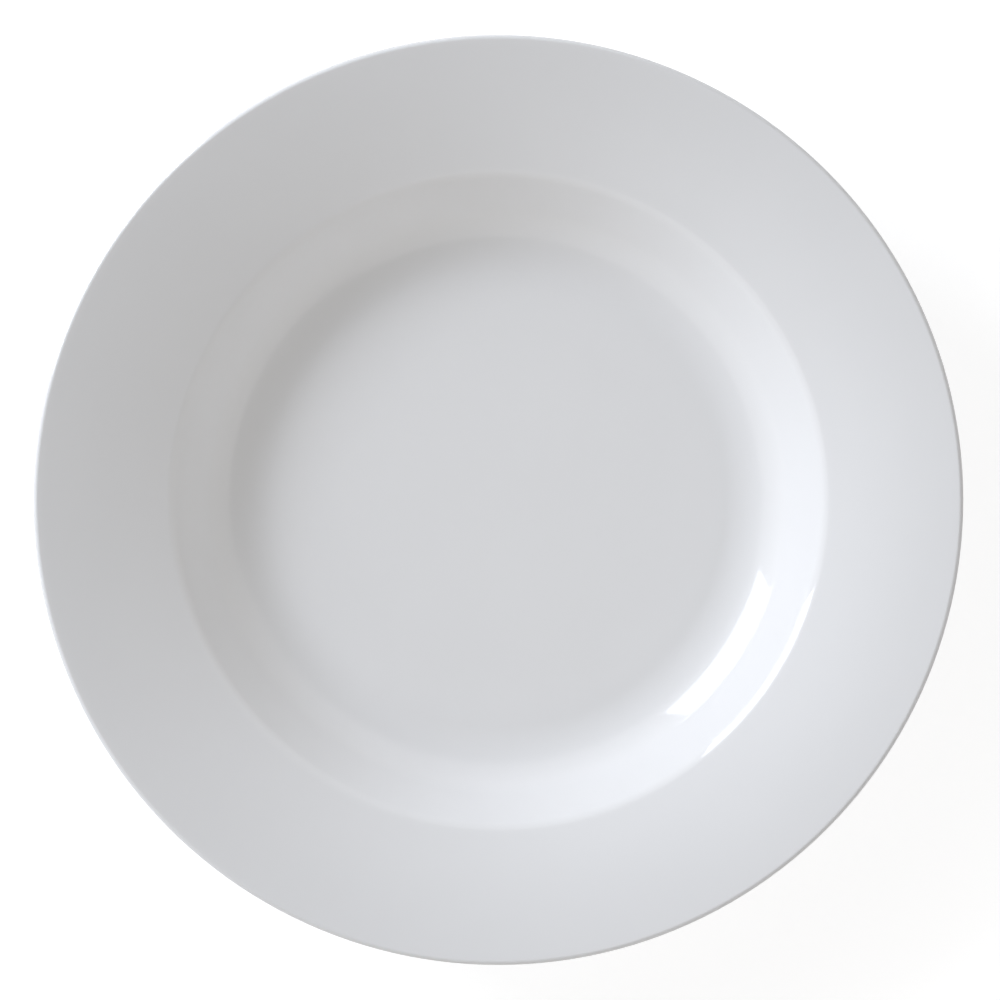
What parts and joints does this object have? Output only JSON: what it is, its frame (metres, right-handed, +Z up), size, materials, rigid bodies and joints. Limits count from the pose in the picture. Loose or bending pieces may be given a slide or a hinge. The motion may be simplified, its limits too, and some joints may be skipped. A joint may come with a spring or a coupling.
{
  "type": "pasta bowl",
  "caption": "Round white porcelain bowl with a flat well, a rounded sloping wall and a wide rising rim, standing on a bare foot ring, for serving pasta or soup.",
  "frame": {"origin": "centre of the foot ring's standing plane, on the bowl's axis of turning", "axes": "+Z up along the axis of turning, out of the mouth of the well; +X and +Y lie in the standing plane and, since the bowl is round, point any way"},
  "size_m": [0.28, 0.28, 0.0419],
  "materials": {
    "biscuit": "bare fired porcelain, satin, polished on the foot ring",
    "face_glaze": "white gloss glaze",
    "back_glaze": "white gloss glaze",
    "base_glaze": "white gloss glaze"
  },
  "bodies": {
    "root": {"porcelain_body": "biscuit", "face_glaze": "face_glaze", "back_glaze": "back_glaze", "base_glaze": "base_glaze"}
  },
  "joints": []
}
